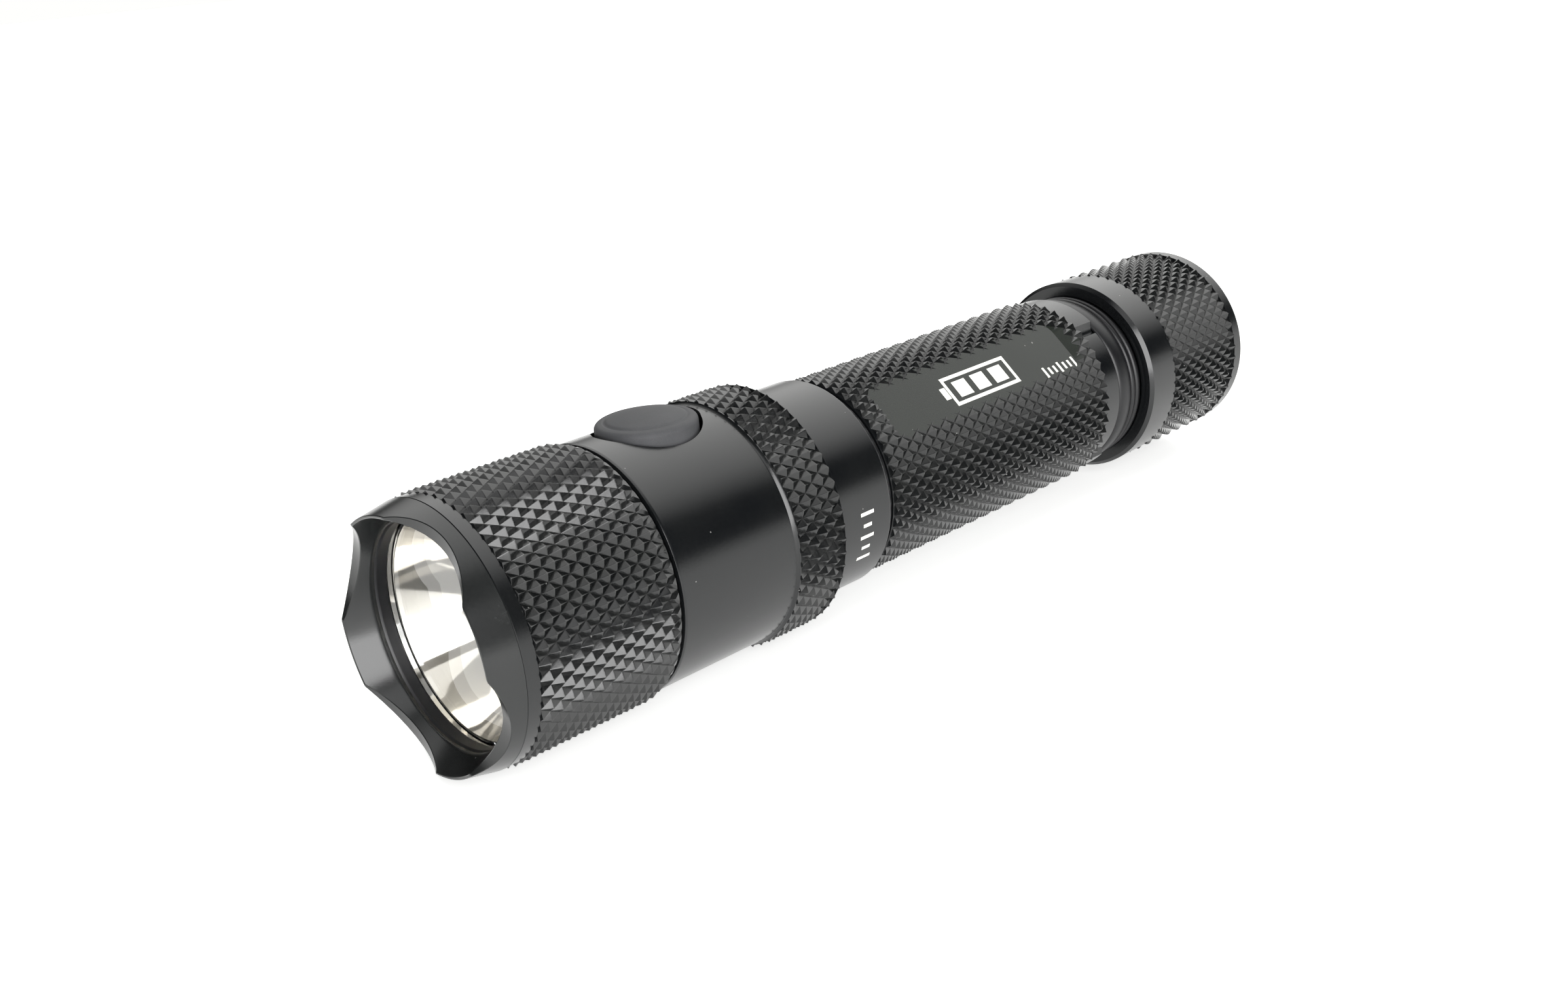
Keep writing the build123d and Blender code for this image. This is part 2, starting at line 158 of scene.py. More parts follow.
def plain(count, *points):
    """Round rings through (station, radius) points: x and r are the same all the way round. A long run
    gets a ring just inside each end, so that the soft shading of a broken corner stays at the corner."""
    given = np.array(points, float)
    step = np.diff(given, axis=0)
    run = np.hypot(step[:, 0], step[:, 1])
    long = np.flatnonzero(run > long_run)
    inset = step[long] * (ring_inset / run[long])[:, None]
    pairs = np.stack([given[long] + inset, given[long + 1] - inset], 1).reshape(-1, 2)
    path = np.insert(given, np.repeat(long + 1, 2), pairs, axis=0)
    x = np.repeat(path[:, :1], count, 1)
    r = np.repeat(path[:, 1:2], count, 1)
    return x, r, np.full(len(path), np.nan)


def knurl(diamonds, rear, front, crest):
    """Diamond knurling. With a in half diamonds round and b in half diamonds along, the grooves lie where
    a - b or a + b is even; the height is the distance to the nearer one, and the tips are slightly blunt."""
    rows = max(2, round((front - rear) / (diamond_length / 2)))
    a = np.arange(2 * diamonds * fine) / fine
    b = np.arange(rows * fine + 1) / fine
    down = np.abs((a[None, :] - b[:, None] + 1) % 2 - 1)
    up = np.abs((a[None, :] + b[:, None] + 1) % 2 - 1)
    height = np.minimum(np.minimum(down, up), knurl_tip)
    x = np.repeat((rear + (front - rear) * b / rows)[:, None], len(a), 1)
    return x, crest - knurl_depth * (knurl_tip - height), b


def thread(count, rear, front, crest, sign=-1):
    """A screw thread: the radius falls from the crest (or rises, inside a bore) by a triangle wave of
    x / pitch minus the turn, with its tops and roots cut flat, and the wave fades in over the first and
    last half turn."""
    rings_per_turn = 8
    steps = int(abs(front - rear) / thread_pitch * rings_per_turn) + 1
    x = np.linspace(rear, front, steps)[:, None]
    turn = clocks(count)[None, :] / (2 * math.pi)
    wave = np.abs(((x / thread_pitch - turn) % 1) * 2 - 1)
    ends = np.minimum(np.abs(x - rear), np.abs(x - front)) / (0.5 * thread_pitch)
    r = crest + sign * thread_depth * np.clip(1.4 * wave - 0.2, 0, 1) * np.clip(ends, 0, 1)
    return np.repeat(x, count, 1), r, np.full(steps, np.nan)


def finish_mesh(name, verts, corners, counts, body, materials, kinds=None, uv=None, sharp=crisp):
    """Makes a mesh object from whole arrays: corner indices, corners per face, material index per face."""
    mesh = bpy.data.meshes.new(name)
    mesh.vertices.add(len(verts))
    mesh.vertices.foreach_set("co", (np.asarray(verts, float) * MM).ravel())
    mesh.loops.add(len(corners))
    mesh.loops.foreach_set("vertex_index", corners)
    mesh.polygons.add(len(counts))
    mesh.polygons.foreach_set("loop_start", np.concatenate([[0], np.cumsum(counts)[:-1]]))
    if kinds is not None:
        mesh.polygons.foreach_set("material_index", kinds)
    if uv is not None:
        mesh.uv_layers.new(name="lattice").data.foreach_set("uv", uv.ravel())
    mesh.update(calc_edges=True)
    mesh.validate()
    piece = bpy.data.objects.new(name, mesh)
    bpy.context.scene.collection.objects.link(piece)
    for material in materials:
        mesh.materials.append(material)
    soften(piece, sharp)
    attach(piece, body)
    return piece


def soften(piece, sharp=crisp):
    """Smooth shading that stays crisp at edges steeper than an angle in degrees."""
    piece.data.polygons.foreach_set("use_smooth", np.ones(len(piece.data.polygons), bool))
    piece.data.set_sharp_from_angle(angle=math.radians(sharp))


def turned(name, body, zones, materials, ends="loop", sharp=crisp, around=None):
    """A turned piece: rings of (x, r) joined in order, closed as a loop through its bore or by a pole at
    each end. Knurled quads are split along their groove; they take the second material."""
    x = np.concatenate([zone[0] for zone in zones])
    r = np.concatenate([zone[1] for zone in zones])
    b = np.concatenate([zone[2] for zone in zones])
    rings, count = x.shape
    clock = clocks(count)[None, :] if around is None else around
    verts = np.stack([x, r * np.sin(clock), r * np.cos(clock)], -1).reshape(-1, 3)
    last = rings if ends == "loop" else rings - 1
    i, k = np.meshgrid(np.arange(last), np.arange(count), indexing="ij")
    i, k = i.ravel(), k.ravel()
    i2 = (i + 1) % rings
    quad_i = np.stack([i, i2, i2, i], 1)
    quad_k = np.stack([k, k, k + 1, k + 1], 1)
    knurled = np.isfinite(b[i]) & np.isfinite(b[i2]) & (i2 > i)
    flip = np.zeros(len(i), bool)
    row = np.nan_to_num(b[i]) + 0.25
    flip[knurled] = ((k[knurled] // fine + np.floor(row[knurled]).astype(int)) % 2) == 1
    split = np.where(flip[:, None], [[0, 1, 3, 1, 2, 3]], [[0, 1, 2, 0, 2, 3]])[knurled]
    tri_i = np.take_along_axis(quad_i[knurled], split, 1).reshape(-1, 3)
    tri_k = np.take_along_axis(quad_k[knurled], split, 1).reshape(-1, 3)
    corner_i = np.concatenate([quad_i[~knurled].ravel(), tri_i.ravel()])
    corner_k = np.concatenate([quad_k[~knurled].ravel(), tri_k.ravel()])
    counts = np.concatenate([np.full((~knurled).sum(), 4), np.full(len(tri_i), 3)])
    kinds = np.concatenate([np.zeros((~knurled).sum(), int), np.full(len(tri_i), len(materials) - 1)])
    corners = corner_i * count + corner_k % count
    uv = np.stack([corner_k / (2 * fine), np.nan_to_num(b[corner_i]) / 2], 1)
    if ends == "poles":
        first, final = len(verts), len(verts) + 1
        tips = [[x[0].mean(), 0, 0], [x[-1].mean(), 0, 0]]
        verts = np.concatenate([verts, tips])
        around_k = np.arange(count)
        fan = np.stack([np.full(count, first), around_k, (around_k + 1) % count], 1)
        top = (rings - 1) * count
        fan2 = np.stack([np.full(count, final), top + (around_k + 1) % count, top + around_k], 1)
        corners = np.concatenate([corners, fan.ravel(), fan2.ravel()])
        counts = np.concatenate([counts, np.full(2 * count, 3)])
        kinds = np.concatenate([kinds, np.zeros(2 * count, int)])
        uv = np.concatenate([uv, np.zeros((6 * count, 2))])
    return finish_mesh(name, verts, corners, counts, body, materials, kinds, uv, sharp)


def carve(piece, cutter, flat=None):
    """Takes a closed cutter out of a closed piece for good, and removes the cutter. The faces of one
    material may be left flat."""
    cut = piece.modifiers.new("carve", "BOOLEAN")
    cut.operation = "DIFFERENCE"
    cut.solver = "EXACT"
    cut.object = cutter
    graph = bpy.context.evaluated_depsgraph_get()
    carved = bpy.data.meshes.new_from_object(piece.evaluated_get(graph))
    piece.modifiers.remove(cut)
    piece.data = carved
    bpy.data.objects.remove(cutter)
    soften(piece)
    if flat is not None:
        kinds = np.empty(len(carved.polygons), np.int32)
        carved.polygons.foreach_get("material_index", kinds)
        carved.polygons.foreach_set("use_smooth", kinds != flat)


def prism(name, outline, base, top, place, body, materials, lean=0.0):
    """A block: a closed outline of (along, across) points between two heights; place turns arrays of
    (along, across, height) into (x, y, z). With a lean, the upper outline's rear end goes back by that."""
    points = np.asarray(outline, float)
    n = len(points)
    low = np.column_stack([points, np.full(n, base)])
    high = np.column_stack([points[:, 0] - lean * (points[:, 0] < 0), points[:, 1], np.full(n, top)])
    verts = place(np.concatenate([low, high]))
    k = np.arange(n)
    walls = np.stack([k, (k + 1) % n, (k + 1) % n + n, k + n], 1)
    corners = np.concatenate([walls.ravel(), k[::-1], k + n])
    counts = np.concatenate([np.full(n, 4), [n, n]])
    return finish_mesh(name, verts, corners, counts, body, materials)


def rounded(length, width, corner, steps=8):
    """The counter-clockwise outline of a rectangle with round corners, centred on the origin."""
    quarter = np.linspace(0, math.pi / 2, steps)
    parts = []
    for turn, (sx, sy) in enumerate(((1, 1), (-1, 1), (-1, -1), (1, -1))):
        angle = quarter + turn * math.pi / 2
        centre = (sx * (length / 2 - corner), sy * (width / 2 - corner))
        arc = np.column_stack([np.cos(angle), np.sin(angle)])
        parts.append(centre + corner * arc)
    return np.concatenate(parts)


def at_clock(station, clock):
    """A placing of (along, across, height) arrays: along X, height outwards at a clock angle."""
    turn = math.radians(clock)

    def place(p):
        y = p[:, 2] * math.sin(turn) + p[:, 1] * math.cos(turn)
        z = p[:, 2] * math.cos(turn) - p[:, 1] * math.sin(turn)
        return np.column_stack([station + p[:, 0], y, z])

    return place


def seal(name, body, material, station, floor, radius, squeeze=1.0):
    """A rubber O-ring: a circle carried round the axis, resting on a groove floor."""
    section = np.linspace(0, 2 * math.pi, 20, endpoint=False)
    x = station - radius * np.cos(section)
    r = floor + radius * squeeze + radius * squeeze * np.sin(section)
    return turned(name, body, [plain(144, *zip(x, r))], [material], sharp=180)


# ---------------------------------------------------------------- materials


class Value:
    """A socket in a node tree, with arithmetic that adds Math nodes."""

    def __init__(self, nodes, socket):
        self.nodes = nodes
        self.socket = socket

    def math(self, operation, *others):
        inputs = dict(enumerate((self, *others)))
        return self.nodes.node("ShaderNodeMath", {"operation": operation}, inputs)

    def other(self, output):
        """Another output of the same node."""
        return Value(self.nodes, self.socket.node.outputs[output])

    def __add__(self, other):
        return self.math("ADD", other)

    def __sub__(self, other):
        return self.math("SUBTRACT", other)

    def __rsub__(self, other):
        return (self * -1).math("ADD", other)

    def __mul__(self, other):
        return self.math("MULTIPLY", other)

    __radd__ = __add__
    __rmul__ = __mul__

    def clip(self):
        return self.math("MINIMUM", 1.0).math("MAXIMUM", 0.0)

    def between(self, low, high):
        """0 below low, 1 above high, and straight between them."""
        return (self - low).math("DIVIDE", high - low).clip()


def set_stops(ramp, stops):
    """Gives a colour ramp its stops, from (position, grey level) pairs in order."""
    ramp.elements.remove(ramp.elements[1])
    ramp.elements[0].position = stops[0][0]
    for position, _ in stops[1:]:
        ramp.elements.new(position)
    for element, (_, level) in zip(ramp.elements, stops):
        element.color = (level, level, level, 1.0)


class Nodes:
    """A node tree being filled."""

    def __init__(self, tree):
        self.tree = tree

    def give(self, socket, value):
        """Sets a socket to a plain value, or links it."""
        if isinstance(value, Value):
            self.tree.links.new(value.socket, socket)
        else:
            socket.default_value = value

    def node(self, kind, settings, inputs, output=0):
        """Any node: its settings first, then the values or links of its sockets; gives one output."""
        made = self.tree.nodes.new(kind)
        for key, value in settings.items():
            if key == "stops":
                set_stops(made.color_ramp, value)
            else:
                setattr(made, key, value)
        for key, value in inputs.items():
            self.give(made.inputs[key], value)
        return Value(self, made.outputs[output])


class Finish(Nodes):
    """A material being built round one Principled shader."""

    def __init__(self, name):
        self.material = bpy.data.materials.new(name)
        self.material.use_nodes = True
        super().__init__(self.material.node_tree)
        self.shader = self.tree.nodes["Principled BSDF"]
        self.place = self.node("ShaderNodeTexCoord", {}, {}, "Object")

    def noise(self, size, detail=3.0, rough=0.55, place=None):
        """Noise from 0 to 1 whose grain is about a size in millimetres."""
        inputs = {"Vector": place or self.place, "Scale": 1 / (size * MM),
                  "Detail": detail, "Roughness": rough}
        return self.node("ShaderNodeTexNoise", {}, inputs)

    def specks(self, spacing, radius, share):
        """Sparse round specks, 1 on a speck and 0 off it: one to a cell, in a share of the cells."""
        cells = {"Vector": self.place, "Scale": 1 / (spacing * MM)}
        near = self.node("ShaderNodeTexVoronoi", {}, cells, "Distance")
        luck = self.node("ShaderNodeSeparateColor", {}, {0: near.other("Color")})
        return near.math("LESS_THAN", radius / spacing) * luck.math("GREATER_THAN", 1 - share)

    def stretched(self, x, y, z):
        """Object coordinates scaled along each axis."""
        return self.node("ShaderNodeMapping", {}, {"Vector": self.place, "Scale": (x, y, z)})

    def axis(self, name):
        """One object coordinate, in millimetres."""
        return self.node("ShaderNodeSeparateXYZ", {}, {0: self.place}, name) * (1 / MM)

    def mix(self, low, high, factor):
        """A colour between two colours."""
        low, high = (c if isinstance(c, Value) else (*c, 1.0) for c in (low, high))
        return self.node("ShaderNodeMix", {"data_type": "RGBA"}, {0: factor, 6: low, 7: high}, 2)

    def bump(self, height, depth, strength=1.0, normal=None):
        """A surface normal from a height of 0 to 1, a depth in millimetres."""
        inputs = {"Height": height, "Distance": depth * MM, "Strength": strength}
        if normal is not None:
            inputs["Normal"] = normal
        return self.node("ShaderNodeBump", {}, inputs)

    def set(self, **sockets):
        """Sets or links the shader's own sockets: base_color stands for Base Color."""
        for key, value in sockets.items():
            socket = self.shader.inputs[key.replace("_", " ").title().replace("Ior", "IOR")]
            self.give(socket, (*value, 1.0) if isinstance(value, tuple) else value)
        return self.material


def hardcoat(name, dark, light, lathe=0.0, gloss=0.5):
    """Black hard anodising: satin, with a fine blasted grain, a cloudy tone and sparse specks of dust. A
    turned piece has some of its grain drawn out into lathe rings."""
    f = Finish(name)
    cloud = f.noise(6.0, 4.0)
    grain = f.noise(0.16, 2.0)
    dust = (f.specks(0.9, 0.06, 0.10) + f.specks(2.4, 0.10, 0.07)).clip()
    tone = (cloud * 0.6 + grain * 0.5).between(0.3, 0.85)
    colour = f.mix(f.mix(dark, light, tone), (0.22, 0.22, 0.21), dust * 0.8)
    rough = 0.15 + cloud * 0.05 + grain * 0.06 + dust * 0.15
    height = grain
    if lathe:
        rings = f.noise(0.08, 2.0, 0.5, f.stretched(1.0, 0.02, 0.02))
        height = grain * (1 - lathe) + rings * lathe
    normal = f.bump(height, 0.010, 0.35)
    return f.set(base_color=colour, roughness=rough, normal=normal, specular_ior_level=gloss)


def knurled_coat(name):
    """The same coating on diamond knurling. The lattice map gives the grooves, where u - v or u + v is
    whole, and the arrises, where 2u or 2v is whole: grooves and arrises carry a painted highlight, the
    arrises are rounded, the blunt tips are worn lighter, and a little lint clings between them."""
    f = Finish(name)
    lattice = f.node("ShaderNodeUVMap", {"uv_map": "lattice"}, {})
    u = f.node("ShaderNodeSeparateXYZ", {}, {0: lattice}, "X")
    v = u.other("Y")
    down = (u - v).math("PINGPONG", 0.5) * 2
    up = (u + v).math("PINGPONG", 0.5) * 2
    height = down.math("MINIMUM", up)
    arris = (u * 2).math("PINGPONG", 0.5).math("MINIMUM", (v * 2).math("PINGPONG", 0.5)) * 2
    cell = f.node("ShaderNodeCombineXYZ", {}, {0: (u - v).math("ROUND"), 1: (u + v).math("ROUND")})
    luck = f.node("ShaderNodeTexWhiteNoise", {}, {"Vector": cell}, "Value")
    cloud = f.noise(5.0, 4.0)
    grain = f.noise(0.12, 3.0)
    chatter = f.noise(0.22, 3.0, 0.6)
    # The grooves' mask: below, the grooves are painted lighter as a painted highlight
    groove = 1 - height.between(0.015, 0.055)
    tip = height.between(0.80, 0.95)
    # The band along each arris, away from the grooves: below, it takes a painted highlight
    arris_highlight = (1 - arris.between(0.02, 0.10)) * height.between(0.25, 0.9)
    lint = (f.specks(1.1, 0.07, 0.09) + f.specks(2.9, 0.13, 0.06)).clip()
    tone = (cloud * 0.7 + grain * 0.4 + luck * 0.2).between(0.3, 1.0)
    black = f.mix((0.0026, 0.0030, 0.0036), (0.0085, 0.0090, 0.0086), tone)
    # Painted highlight: the grooves are drawn as lighter lines
    colour = f.mix(black, (0.022, 0.0225, 0.0215), groove * 0.4)
    # Painted highlight along the arrises, and real wear that lightens the blunt tips
    colour = f.mix(colour, (0.035, 0.0355, 0.034), (arris_highlight * 0.3 + tip * 0.35).clip())
    colour = f.mix(colour, (0.26, 0.26, 0.25), lint * 0.7)
    rough = 0.12 + grain * 0.05 + chatter * 0.05 + luck * 0.04 - groove * 0.03
    rounding = arris.between(0.0, 0.16).math("POWER", 0.5) * 0.5 + height.between(0.0, 0.05) * 0.12
    relief = f.bump(rounding, 0.02, 0.5)
    normal = f.bump(chatter * 0.6 + grain * 0.4, 0.012, 0.25, relief)
    return f.set(base_color=colour, roughness=rough, normal=normal, specular_ior_level=0.55)


def rubber(name, dark, light, rough=0.62, dusty=0.6, depth=0.01):
    """Moulded rubber: matte, faintly mottled, with dust that clings to it."""
    f = Finish(name)
    cloud = f.noise(3.0, 4.0)
    grain = f.noise(0.10, 3.0)
    dust = f.noise(0.18, 5.0, 0.7).between(0.64, 0.74)
    tone = (cloud * 0.7 + grain * 0.4).between(0.3, 0.8)
    colour = f.mix(f.mix(dark, light, tone), (0.14, 0.14, 0.135), dust * dusty * 0.4)
    level = rough + cloud * 0.10 + grain * 0.06
    normal = f.bump(grain, depth, 0.6)
    return f.set(base_color=colour, roughness=level, normal=normal, specular_ior_level=0.45)


def mirror(name):
    """The reflector's bright film: warm silver, with a thin haze, faint rings and a few specks."""
    f = Finish(name)
    rings = f.noise(1.4, 2.0, 0.5, f.stretched(1.0, 0.05, 0.05))
    speck = f.specks(1.3, 0.05, 0.15)
    haze = f.noise(4.0, 3.0)
    silver = f.mix((0.90, 0.84, 0.74), (0.96, 0.93, 0.88), haze)
    colour = f.mix(silver, (0.7, 0.68, 0.64), speck * 0.5)
    rough = 0.04 + haze * 0.04 + speck * 0.1
    return f.set(base_color=colour, roughness=rough, metallic=0.72, normal=f.bump(rings, 0.002, 0.3))


def glass(name):
    """Clear toughened glass with a breath of coating haze and a few specks."""
    f = Finish(name)
    speck = f.noise(0.10, 4.0, 0.7).between(0.70, 0.76)
    rough = 0.01 + speck * 0.25
    f.set(transmission_weight=1.0, ior=1.46)
    return f.set(base_color=f.mix((0.975, 0.985, 0.985), (0.9, 0.91, 0.91), speck), roughness=rough)


def bare_metal(name, low, high, rough, tarnish=(0.2, 0.2, 0.2)):
    """Plain metal with fine turning marks, light tarnish and uneven polish."""
    f = Finish(name)
    marks = f.noise(0.10, 3.0, 0.6, f.stretched(1.0, 0.05, 0.05))
    cloud = f.noise(1.8, 4.0)
    stain = f.noise(0.9, 5.0, 0.7).between(0.55, 0.75)
    colour = f.mix(f.mix(low, high, cloud), tarnish, stain * 0.25)
    level = rough + marks * 0.12 + stain * 0.15
    return f.set(base_color=colour, roughness=level, metallic=1.0, normal=f.bump(marks, 0.006, 0.5))


def moulded(name, low, high, rough, depth=0.008, speckle=0.0):
    """Plastic, ceramic or lacquer: an even colour with a soft mottle, a fine skin and optional specks."""
    f = Finish(name)
    cloud = f.noise(2.2, 4.0)
    grain = f.noise(0.12, 3.0)
    colour = f.mix(low, high, (cloud * 0.7 + grain * 0.35).between(0.3, 0.8))
    if speckle:
        colour = f.mix(colour, (0.5, 0.5, 0.5), f.noise(0.2, 4.0, 0.7).between(0.62, 0.70) * speckle)
    level = rough + cloud * 0.08 + grain * 0.05
    return f.set(base_color=colour, roughness=level, normal=f.bump(grain, depth, 0.5))


def circuit(name, mask_low, mask_high):
    """Solder mask over copper tracks: thin raised lines and round pads show lighter through the lacquer."""
    f = Finish(name)
    cells = {"Vector": f.place, "Scale": 700.0}
    tracks = f.node("ShaderNodeTexVoronoi", {"feature": "DISTANCE_TO_EDGE"}, cells, "Distance")
    line = 1 - tracks.between(0.03, 0.06)
    weave = f.noise(0.15, 2.0)
    colour = f.mix(f.mix(mask_low, mask_high, weave), mask_high, line * 0.6)
    normal = f.bump(line * 0.6 + weave * 0.2, 0.02, 0.5)
    return f.set(base_color=colour, roughness=0.28 + weave * 0.12, normal=normal)


def laser_mark(name):
    """Laser-bleached coating: warm white, slightly patchy, with the beam's fine hatching."""
    f = Finish(name)
    hatch = f.noise(0.07, 2.0, 0.5, f.stretched(1.0, 0.2, 0.2))
    patch = f.noise(0.5, 4.0)
    tone = (hatch * 0.5 + patch * 0.7).between(0.25, 0.8)
    colour = f.mix((0.62, 0.62, 0.57), (0.86, 0.86, 0.80), tone)
    return f.set(base_color=colour, roughness=0.6 + patch * 0.1, normal=f.bump(hatch, 0.006, 0.4))


def cell_wrap(name):
    """A plain shrink sleeve: deep blue with a lighter band at the positive end and slight wrinkles."""
    f = Finish(name)
    x = f.axis("X")
    band_start = 50.0
    band = x.between(band_start - 0.1, band_start + 0.1)
    wrinkle = f.noise(1.2, 3.0, 0.5, f.stretched(0.2, 1.0, 1.0))
    cloud = f.noise(4.0)
    blue = f.mix((0.02, 0.045, 0.12), (0.03, 0.065, 0.16), cloud)
    colour = f.mix(blue, (0.5, 0.5, 0.5), band)
    return f.set(base_color=colour, roughness=0.25 + cloud * 0.1, normal=f.bump(wrinkle, 0.05, 0.3))


turned_coat = hardcoat("turned_black_hardcoat", (0.0026, 0.0031, 0.0040), (0.0070, 0.0076, 0.0076), 0.4)
bezel_coat = hardcoat("bezel_hardcoat", (0.007, 0.0078, 0.0080), (0.015, 0.0158, 0.0156), 0.3)
panel_coat = hardcoat("milled_panel_hardcoat", (0.010, 0.0122, 0.0098), (0.016, 0.0190, 0.0158), gloss=0.3)
knurl_coat = knurled_coat("knurled_hardcoat")
button_rubber = rubber("button_rubber", (0.034, 0.035, 0.038), (0.062, 0.0625, 0.066))
seal_rubber = rubber("oiled_seal_rubber", (0.002, 0.002, 0.003), (0.005, 0.005, 0.006), 0.30, 0.1, 0.004)
mirror_film = mirror("mirror_film")
clear_glass = glass("clear_glass")
mark_white = laser_mark("laser_bleached_mark")
brass = bare_metal("turned_brass", (0.62, 0.44, 0.18), (0.80, 0.62, 0.30), 0.24, (0.25, 0.16, 0.07))
copper = bare_metal("bare_copper", (0.70, 0.33, 0.20), (0.86, 0.46, 0.30), 0.30, (0.25, 0.12, 0.08))
spring_wire = bare_metal("plated_spring_wire", (0.66, 0.64, 0.60), (0.80, 0.78, 0.74), 0.22)
pressed_steel = bare_metal("pressed_steel", (0.55, 0.55, 0.56), (0.72, 0.72, 0.72), 0.28)


# ---------------------------------------------------------------- tail cap


def make_tail_cap():
    """The screw cap: flat end, chamfer, knurling, smooth front band, threaded bore."""
    count = 2 * cap_diamonds * fine
    land = cap_radius - cap_land_drop
    zones = [
        plain(count, (tail_end, 0.6), (tail_end, cap_radius - cap_chamfer - 0.15),
              (tail_end + corner_break, cap_radius - cap_chamfer), (cap_chamfer, land - 0.03),
              (cap_chamfer + corner_break, land), (cap_knurl_rear - 0.01, land)),
        knurl(cap_diamonds, cap_knurl_rear, cap_knurl_front, cap_radius),
        plain(count, (cap_knurl_front + 0.01, land), (cap_knurl_front + 0.15, land),
              (cap_front - 0.35, cap_radius - 0.08), (cap_front - 0.12, cap_radius - 0.3),
              (cap_front, cap_radius - 0.42), (cap_front, thread_bore + 0.3),
              (cap_front - 0.3, thread_bore)),
        thread(count, cap_front - 0.6, cap_front - cap_thread_length, thread_bore, 1),
        plain(count, (cap_floor + 2.6, thread_bore), (cap_floor, thread_bore), (cap_floor, 0.6)),
    ]
    return turned("tail_cap_shell", "tail_cap", zones, [turned_coat, knurl_coat], "poles")


# ---------------------------------------------------------------- battery tube


def make_battery_tube():
    """The grip: threads, seal groove, clip neck with its raised land, knurling and the milled panel. The
    land is left out over a window of clock angles, with a shallow notch just inside the window."""
    count = 2 * grip_diamonds * fine
    clock = np.degrees(clocks(count))
    window = (clock - clip_land_edge) % 360
    inside = np.clip(np.minimum(window, clip_land_window - window) / 2.0, 0, 1)
    land = clip_land_radius - (clip_land_radius - clip_neck_radius) * inside
    stations = (collar_width, collar_width + corner_break, 3.6, clip_neck_length)
    neck = plain(count, *[(clip_neck_rear + s, 0) for s in stations])
    neck[1][:] = land - notch_depth * np.exp(-(((clock - notch_clock) / notch_width) ** 2))
    neck[1][0] -= corner_break
    root = grip_radius - knurl_depth
    zones = [
        plain(count, (tube_rear, tube_bore + 0.1), (tube_rear, thread_radius - 0.35),
              (tube_rear + 0.3, thread_radius)),
        thread(count, tube_rear + 0.5, cap_front - 1.0, thread_radius),
        plain(count, (cap_front, thread_radius), (cap_front + 0.02, oring_floor),
              (clip_neck_rear - 0.01, oring_floor), (clip_neck_rear, collar_floor),
              (clip_neck_rear + collar_width - 0.02, collar_floor)),
        neck,
        plain(count, (grip_rear + 0.01, root), (grip_rear + 0.08, root + 0.1)),
        knurl(grip_diamonds, grip_rear + 0.12, grip_front - 0.12, grip_radius),
        plain(count, (grip_front - 0.08, root + 0.1), (grip_front, root),
              (grip_front + 0.01, thread_radius), (grip_front + 0.7, thread_radius)),
        thread(count, grip_front + 0.9, tube_front - 0.4, thread_radius),
        plain(count, (tube_front - 0.2, thread_radius - 0.05), (tube_front, thread_radius - 0.25),
              (tube_front, tube_bore + 0.1), (tube_front - corner_break, tube_bore),
              (tube_rear + corner_break, tube_bore)),
    ]
    tube = turned("battery_tube_shell", "battery_tube", zones, [turned_coat, knurl_coat])
    outline = rounded(panel_length - panel_ramp, panel_width, panel_corner)
    place = at_clock(panel_rear + (panel_length + panel_ramp) / 2, panel_clock)
    coats = [turned_coat, knurl_coat, panel_coat]
    pocket = prism("panel_cutter", outline, panel_height, panel_height + 3, place, "battery_tube", coats,
                   panel_ramp * 4)
    panel_index = coats.index(panel_coat)
    pocket.data.polygons.foreach_set("material_index", np.full(len(pocket.data.polygons), panel_index))
    tube.data.materials.append(panel_coat)
    carve(tube, pocket, panel_index)
    return tube


# ---------------------------------------------------------------- switch housing


def make_switch_housing():
    """One turned piece: neck, knurled ring, smooth band with the switch well, threaded spigot, cavity."""
    count = 2 * head_diamonds * fine
    root = head_radius - knurl_depth
    zones = [
        plain(count, (housing_rear, thread_bore + 0.3), (housing_rear, neck_radius - 0.35),
              (housing_rear + 0.1, neck_radius - 0.15), (housing_rear + 0.35, neck_radius),
              (ring_rear - 0.25, neck_radius), (ring_rear - 0.05, neck_radius + 0.1),
              (ring_rear, neck_radius + 0.35), (ring_rear, root - 0.35), (ring_rear + 0.06, root - 0.22),
              (ring_rear + 0.56, head_radius - 0.15), (ring_rear + 0.60, head_radius - 0.15)),
        knurl(head_diamonds, ring_rear + 0.62, ring_front - 0.34, head_radius),
        plain(count, (ring_front - 0.32, band_radius + 0.26), (ring_front - 0.24, band_radius + 0.26),
              (ring_front - 0.02, band_radius + 0.02), (ring_front + 0.05, band_radius),
              (band_front - 0.22, band_radius), (band_front - 0.06, band_radius - 0.06),
              (band_front, band_radius - 0.2), (band_front, spigot_radius + 0.05),
              (band_front + 0.05, spigot_radius), (band_front + 1.0, spigot_radius)),
        thread(count, band_front + 1.2, spigot_front - 0.3, spigot_radius),
        plain(count, (spigot_front, spigot_radius - 0.25), (spigot_front, pill_pocket + 0.1),
              (spigot_front - 0.1, pill_pocket), (pill_rear, pill_pocket), (pill_rear, housing_cavity),
              (driver_front, housing_cavity), (driver_front, thread_bore)),
        thread(count, driver_front - 1.4, housing_rear + 1.0, thread_bore, 1),
        plain(count, (housing_rear + 0.3, thread_bore)),
    ]
    housing = turned("switch_housing_shell", "head", zones, [turned_coat, knurl_coat])
    ledge = band_radius - well_depth
    shaft = well_radius - well_step
    above = 0.6
    steps = [(ledge - well_shaft, shaft), (ledge, shaft), (ledge, well_radius),
             (band_radius - well_bevel, well_radius), (band_radius + above, well_radius + well_bevel + above)]
    carve(housing, upright("well_cutter", "head", steps, [turned_coat]))
    return housing


